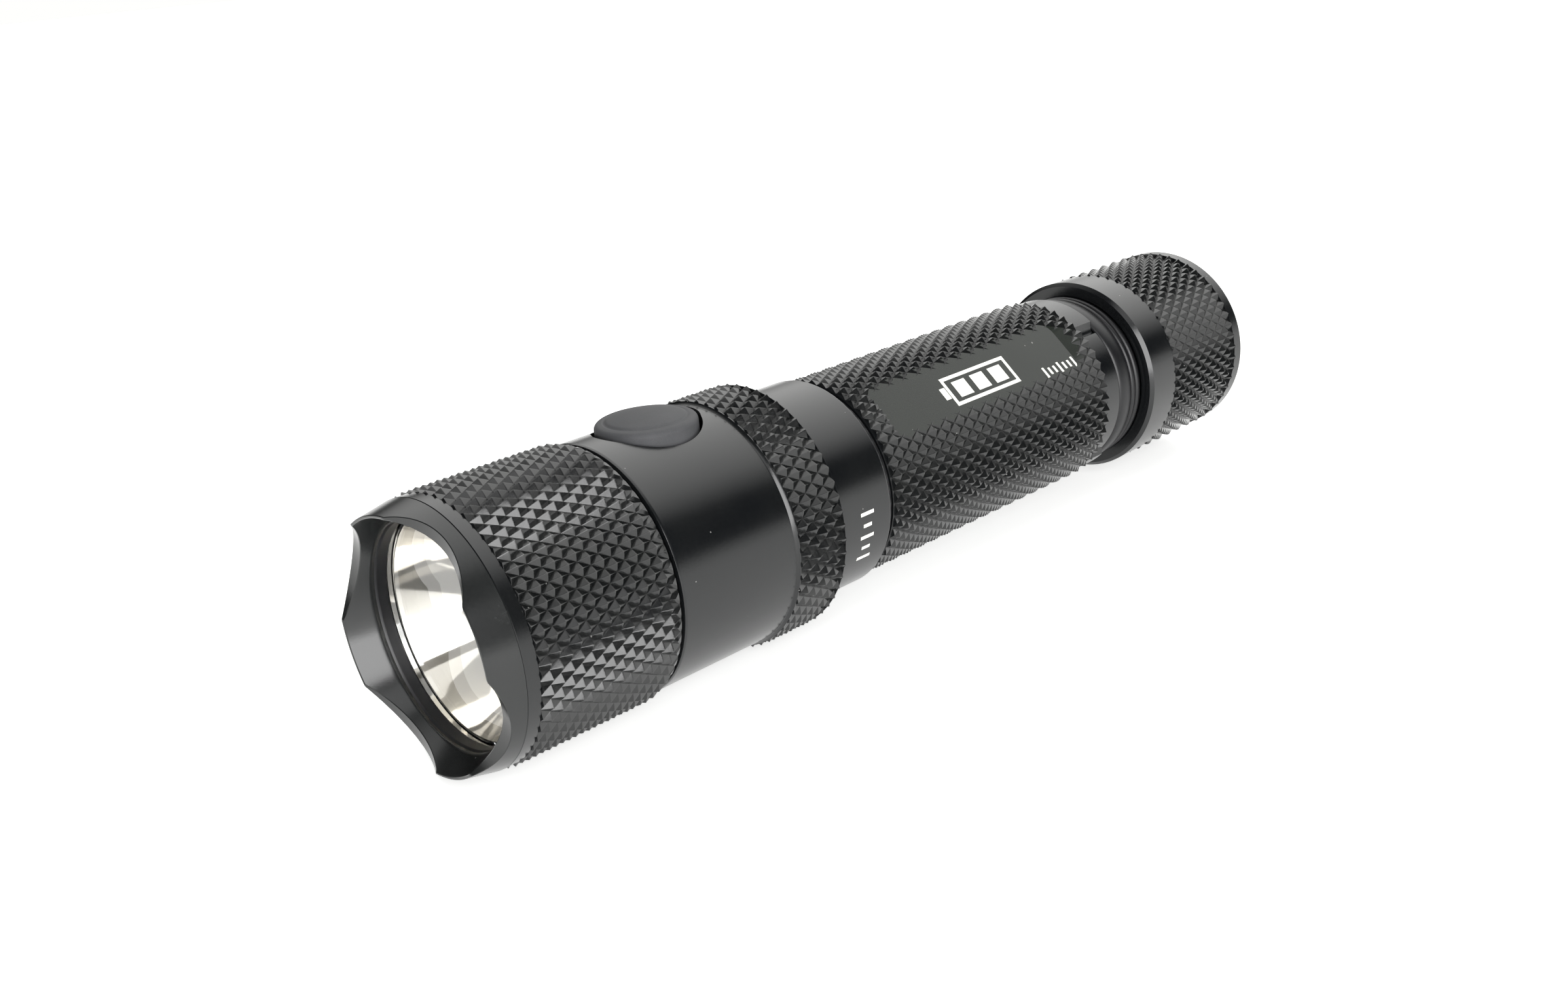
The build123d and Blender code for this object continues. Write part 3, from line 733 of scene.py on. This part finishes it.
def upright(name, body, steps, materials, sharp=crisp):
    """A turned piece about the switch's own upright axis, from (height, radius) steps, closed at both ends:
    made about X and then stood up, X to Z and Z to -X."""
    path = [(steps[0][0], 0.15), *steps, (steps[-1][0], 0.15)]
    piece = turned(name, body, [plain(128, *path)], materials, "poles", sharp)
    co = np.empty(len(piece.data.vertices) * 3, np.float32)
    piece.data.vertices.foreach_get("co", co)
    co = co.reshape(-1, 3)
    stood = np.column_stack([button_station * MM - co[:, 2], co[:, 1], co[:, 0]])
    piece.data.vertices.foreach_set("co", stood.ravel())
    piece.data.update()
    soften(piece, sharp)
    return piece


def make_button():
    """The rubber dome: a ball cap with a soft crease inside its rim, a rounded shoulder and a straight
    side. The ball's radius comes from the cap's rise, (r^2 + rise^2) / (2 rise)."""
    rise = 0.8
    rounding = 0.5
    crease_depth, crease_width = 0.10, 0.16
    ball = (button_radius**2 + rise**2) / (2 * rise)
    shoulder = button_radius - rounding
    radii = np.linspace(0.2, shoulder, 40)
    crease = crease_depth * np.exp(-(((radii - button_radius * 0.80) / crease_width) ** 2))
    crown = button_high.z - ball + np.sqrt(ball**2 - radii**2) - crease
    turn = np.linspace(0, math.pi / 2, 10)[1:]
    side_r = shoulder + rounding * np.sin(turn)
    side_z = crown[-1] - rounding * (1 - np.cos(turn))
    side = zip(side_z[::-1], side_r[::-1])
    steps = [(button_low.z, button_radius), *side, *zip(crown[::-1], radii[::-1])]
    return upright("side_button_dome", "side_button", steps, [button_rubber], 50)


# ---------------------------------------------------------------- head


def make_head_shell():
    """The knurled front shell, from the seam to the bezel, with its seal pocket and bores."""
    count = 2 * head_diamonds * fine
    root = head_radius - knurl_depth
    front_land = shell_front - shell_land
    lattice = knurl(head_diamonds, shell_rear + 0.06, front_land - 0.02, head_radius)
    lattice[1][0] = np.minimum(lattice[1][0], root + 0.08)
    zones = [
        plain(count, (shell_rear, seal_pocket), (shell_rear, root - 0.12), (shell_rear + 0.05, root)),
        lattice,
        plain(count, (front_land, bezel_radius - 0.04), (front_land + 0.05, bezel_radius),
              (shell_front - 0.07, bezel_radius), (shell_front, bezel_radius - 0.07),
              (shell_front, bezel_bore), (lens_rear, bezel_bore), (lens_rear, shell_bore),
              (seal_pocket_front, shell_bore), (seal_pocket_front, seal_pocket)),
    ]
    return turned("head_shell_knurled", "head", zones, [turned_coat, knurl_coat])


def make_bezel():
    """The strike bezel. Its outer cone and inner funnel are straight lines r(x); the scallops are cut by
    round cutters that stand radially, so the top is the lower of the tip and
    x = station - sqrt(cutter^2 - (r sin(clock - centre))^2). The grid is finer across the scallops."""
    cutter = (scallop_width**2 / 4 + scallop_depth**2) / (2 * scallop_depth)
    station = bezel_tip + cutter - scallop_depth
    half = math.asin(scallop_width / 2 / bezel_lip)
    quarter = np.concatenate([np.linspace(-half, half, 80, endpoint=False),
                              np.linspace(half, math.pi / 2 - half, 36, endpoint=False)])
    start = math.radians(scallop_clock)
    around = np.concatenate([start + quarter + n * math.pi / 2 for n in range(4)])
    inner = bezel_lip - lip_width
    count = len(around)

    def top(r):
        eighth = math.pi / 4
        across = r * np.sin((around - start + eighth) % (2 * eighth) - eighth)
        return np.minimum(bezel_tip, station - np.sqrt(np.maximum(cutter**2 - across**2, 0)))

    def cone(x):
        return bezel_radius + (bezel_lip - bezel_radius) * (x - shell_front) / (bezel_tip - shell_front)

    def funnel(x):
        share = np.clip((x - bezel_throat) / (bezel_tip - bezel_throat), 0, 1)
        return bezel_grip + (inner - bezel_grip) * share

    outer_top = top(bezel_lip)
    inner_top = top(inner)
    for _ in range(6):
        outer_top = top(cone(outer_top))
        inner_top = top(funnel(inner_top))
    soft = 0.05
    foot = shell_front + 0.03
    wall = [foot + (outer_top - soft - foot) * s for s in np.linspace(0, 1, 6)]
    outside = [(w, cone(w)) for w in wall]
    r_out, r_in = cone(outer_top) - soft, funnel(inner_top) + soft
    across = [r_out + (r_in - r_out) * s for s in np.linspace(0, 1, 9)]
    floor = [(top(r), r) for r in across]
    down = [inner_top - soft + (bezel_throat - inner_top + soft) * s for s in np.linspace(0, 1, 7)]
    inside = [(d, funnel(d)) for d in down]
    rows = [*outside, *floor, *inside]
    x = np.stack([np.broadcast_to(row[0], count) for row in rows])
    r = np.stack([np.broadcast_to(row[1], count) for row in rows])
    crown = (x, r, np.full(len(rows), np.nan))
    zones = [
        plain(count, (bezel_rear, lens_seat), (bezel_rear, bezel_bore - 0.3),
              (bezel_rear + 0.2, bezel_bore - 0.08),
              (shell_front - 0.02, bezel_bore - 0.08), (shell_front + 0.005, bezel_bore),
              (shell_front + 0.005, bezel_radius - 0.1)),
        crown,
        plain(count, (bezel_throat - 0.05, bezel_grip), (shell_front, bezel_grip + 0.05),
              (shell_front, lens_seat)),
    ]
    return turned("strike_bezel", "head", zones, [bezel_coat], around=around[None, :], sharp=28)


def make_reflector():
    """The mirror: a parabola whose focus is on the emitter's face, r^2 = 4 f (x - vertex), with its rim and
    a tapering back."""
    emitter_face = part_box("led_emitter")[1].x / MM
    front = lens_radius - 0.22
    reach_to_lens = mirror_front - emitter_face
    focal = (math.sqrt(reach_to_lens**2 + front**2) - reach_to_lens) / 2
    x = np.linspace(mirror_front, mirror_rear, 60)
    r = np.sqrt(4 * focal * (x - emitter_face + focal))
    zones = [
        plain(192, (mirror_rear, r[-1] + 1.8), (mirror_front - 2.0, mirror_rim),
              (mirror_front - 0.1, mirror_rim), (mirror_front, mirror_rim - 0.1),
              (mirror_front, front + 0.04)),
        plain(192, *zip(x, r)),
    ]
    return turned("reflector_cup", "head", zones, [mirror_film])


def make_lens():
    """The front glass: a flat disc with ground, chamfered edges."""
    ground = lens_radius - corner_break
    zones = [plain(192, (lens_rear, 0.3), (lens_rear, ground), (lens_rear + corner_break, lens_radius),
                   (lens_front - corner_break, lens_radius), (lens_front, ground), (lens_front, 0.3))]
    return turned("front_glass", "head", zones, [clear_glass], "poles", sharp=20)


# ---------------------------------------------------------------- marks


def make_marks():
    """Plain white marks: a battery outline with its charge bars on the panel, and index ticks beside it and
    on the housing neck."""
    lift, root = 0.012, 0.05

    def bar(name, middle, size, station, clock, height, body):
        outline = np.array([(-1, -1), (1, -1), (1, 1), (-1, 1)]) * (size[0] / 2, size[1] / 2) + middle
        place = at_clock(station, clock)
        piece = prism(name, outline, height - root, height + lift, place, body, [mark_white])

    def panel_bar(name, middle, size, station):
        bar(name, middle, size, station, panel_clock, panel_height, "battery_tube")

    centre = panel_rear + panel_length * 0.53
    wide, tall, line, raised = 9.2, 3.2, 0.36, 0.35
    side, end = (tall - line) / 2, (wide - line) / 2
    outline = (((0, side), (wide, line)), ((0, -side), (wide, line)),
               ((end, 0), (line, tall - 2 * line)), ((-end, 0), (line, tall - 2 * line)),
               ((wide / 2 + 0.45, 0), (0.7, 1.3)))
    for n, ((along, across), size) in enumerate(outline):
        panel_bar("battery_mark_%d" % n, (along, across + raised), size, centre)
    for n in range(3):
        panel_bar("charge_bar_%d" % n, (-2.6 + 2.6 * n, raised), (1.8, tall - 4 * line), centre)
    for n in range(7):
        size = (0.3, 1.2 if n % 3 == 0 else 0.8)
        panel_bar("panel_tick_%d" % n, (n * 0.75, 2.1), size, panel_rear + 2.4)
    for n in range(5):
        size = (1.6 if n % 2 == 0 else 1.0, 0.32)
        bar("neck_tick_%d" % n, (0, 0), size, housing_rear + 3.2, 90 + 6.5 * n, neck_radius, "head")


# ---------------------------------------------------------------- pieces

cap = make_tail_cap()
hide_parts("tail_cap")
tube = make_battery_tube()
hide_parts("battery_tube")
housing = make_switch_housing()
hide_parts("switch_housing")
shell = make_head_shell()
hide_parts("head_shell")
bezel = make_bezel()
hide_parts("bezel_ring")

button = make_button()
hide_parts("rubber_button")

cup = make_reflector()
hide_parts("reflector")

window = make_lens()
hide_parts("lens")

for node, body in (("neck_oring", "battery_tube"), ("tail_oring_rear", "battery_tube"),
                   ("tail_oring_front", "battery_tube"), ("head_oring", "head")):
    rear, front, outside = reach(node)
    radius = (front - rear) / 2
    ring = seal(node + "_rubber", body, seal_rubber, (rear + front) / 2, outside - 2 * radius, radius)
    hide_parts(node)

collar = seal("tail_seal_collar", "battery_tube", seal_rubber, clip_neck_rear + collar_width / 2,
              collar_floor, collar_width / 2 + 0.02, 0.36)

rear, front, outside = reach("lens_oring")
lip = plain(192, (rear, outside), (rear, bezel_grip + 0.1), (rear + 0.15, bezel_grip - 0.02),
            (front - 0.2, bezel_grip - 0.02), (front, bezel_grip + 0.1), (front, outside))
ring = turned("lens_seal_rubber", "head", [(lip[0][::-1], lip[1][::-1], lip[2])], [seal_rubber])
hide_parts("lens_oring")

make_marks()

carried = {
    "centring_gasket": moulded("white_gasket_plastic", (0.80, 0.80, 0.76), (0.90, 0.90, 0.86), 0.45),
    "emitter_dome": moulded("emitter_silicone", (0.85, 0.72, 0.20), (0.95, 0.84, 0.34), 0.12, 0.002),
    "led_emitter": moulded("emitter_ceramic", (0.80, 0.78, 0.72), (0.90, 0.89, 0.84), 0.40),
    "led_board": circuit("white_metal_core_board", (0.70, 0.71, 0.70), (0.84, 0.85, 0.84)),
    "heat_pill": copper,
    "led_leads": moulded("red_lead_insulation", (0.42, 0.03, 0.02), (0.55, 0.05, 0.035), 0.35),
    "switch_leads": moulded("white_lead_insulation", (0.62, 0.60, 0.55), (0.75, 0.73, 0.68), 0.35),
    "button_rim": button_rubber,
    "button_actuator": moulded("actuator_plastic", (0.05, 0.05, 0.055), (0.09, 0.09, 0.095), 0.40),
    "switch_stem": moulded("stem_plastic", (0.025, 0.025, 0.025), (0.05, 0.05, 0.05), 0.35),
    "switch_carrier": moulded("carrier_plastic", (0.07, 0.07, 0.075), (0.12, 0.12, 0.125), 0.45),
    "switch_board": circuit("green_switch_board", (0.015, 0.09, 0.045), (0.03, 0.16, 0.08)),
    "tactile_switch": pressed_steel,
    "driver_components": moulded("component_black", (0.015, 0.015, 0.015), (0.035, 0.035, 0.035), 0.35,
                                 speckle=0.3),
    "driver_board": circuit("green_driver_board", (0.015, 0.09, 0.045), (0.03, 0.16, 0.08)),
    "driver_ring": brass,
    "driver_contact": brass,
    "cell_can": cell_wrap("cell_wrap"),
    "cell_nipple": pressed_steel,
    "tail_spring": spring_wire,
    "tail_board": circuit("green_tail_board", (0.015, 0.09, 0.045), (0.03, 0.16, 0.08)),
    "tail_ring": brass,
}
for node, material in carried.items():
    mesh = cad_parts[node].data
    mesh.materials.clear()
    mesh.materials.append(material)

# ---------------------------------------------------------------- floor, light and camera


def pale_floor():
    """A plain pale sheet that the light lies on."""
    f = Finish("pale_floor")
    tone = f.noise(60.0, 3.0)
    f.set(base_color=f.mix((0.80, 0.805, 0.80), (0.84, 0.84, 0.835), tone), roughness=0.55 + tone * 0.1,
          emission_color=(1.0, 1.0, 0.99), emission_strength=0.62)
    level = -head_radius - 0.02
    size = 20000.0
    corners = [(-size, -size, level), (size, -size, level), (size, size, level), (-size, size, level)]
    mesh = bpy.data.meshes.new("floor")
    mesh.from_pydata([tuple(c * MM for c in corner) for corner in corners], [], [(0, 1, 2, 3)])
    mesh.materials.append(f.material)
    floor = bpy.data.objects.new("floor", mesh)
    bpy.context.scene.collection.objects.link(floor)


def softbox(name, place, towards, size, watts):
    """A square area light that faces a point."""
    lamp = bpy.data.lights.new(name, "AREA")
    lamp.shape = "SQUARE"
    lamp.size = size
    lamp.energy = watts
    holder = bpy.data.objects.new(name, lamp)
    holder.location = place
    holder.rotation_euler = (Vector(place) - Vector(towards)).to_track_quat("Z", "Y").to_euler()
    bpy.context.scene.collection.objects.link(holder)


def dim_room():
    """The room round the table: as pale as the floor at the horizon, with a broad pale patch of ceiling
    behind the light's tail, and dim elsewhere. Each is a ramp over the direction's part along one axis.
    The backdrop itself is plain and pale."""
    world = bpy.data.worlds.new("dim_room")
    world.use_nodes = True
    background = world.node_tree.nodes["Background"]
    background.inputs["Color"].default_value = (1.0, 1.0, 0.985, 1.0)
    room = Nodes(world.node_tree)
    way = room.node("ShaderNodeTexCoord", {}, {}, "Generated")

    def patch(axis, *stops):
        along = room.node("ShaderNodeVectorMath", {"operation": "DOT_PRODUCT"}, {0: way, 1: axis}, "Value")
        return room.node("ShaderNodeValToRGB", {"stops": stops}, {"Fac": along}, "Color")

    horizon = patch((0, 0, 1), (0.0, 1.0), (0.05, 1.0), (0.10, 0.012), (1.0, 0.012))
    ceiling = patch((-0.55, -0.25, 0.80), (0.0, 0.0), (0.58, 0.0), (0.82, 1.8), (1.0, 2.6))
    seen = room.node("ShaderNodeLightPath", {}, {}, "Is Camera Ray")
    levels = {"Factor": seen, "A": horizon + ceiling, "B": 1.0}
    room.give(background.inputs["Strength"], room.node("ShaderNodeMix", {}, levels, "Result"))
    bpy.context.scene.world = world


pale_floor()
softbox("front_key", (0.29, 0.38, 0.13), (0.05, 0, 0), 0.36, 3.4)
softbox("side_fill", (0.22, 0.20, 0.42), (0.04, 0, 0), 0.22, 0.25)
dim_room()
bpy.context.scene.view_settings.view_transform = "Standard"

camera_place = (0.1499, 0.0983, 0.0466)
camera_right = (-0.71666, 0.69091, -0.09509)
camera_up = (-0.29975, -0.18204, 0.93649)
camera_back = (0.62972, 0.69964, 0.33756)


def make_camera():
    """The viewpoint: in front of the bezel, to the side and a little above, turned a few degrees about its
    own axis."""
    lens = bpy.data.cameras.new("view")
    lens.sensor_width = 36.0
    lens.lens = 35.906
    lens.clip_start = 0.005
    eye = bpy.data.objects.new("view", lens)
    turn = Matrix((camera_right, camera_up, camera_back)).transposed()
    eye.matrix_world = Matrix.Translation(camera_place) @ turn.to_4x4()
    bpy.context.scene.collection.objects.link(eye)
    bpy.context.scene.camera = eye


make_camera()
bpy.context.view_layer.update()
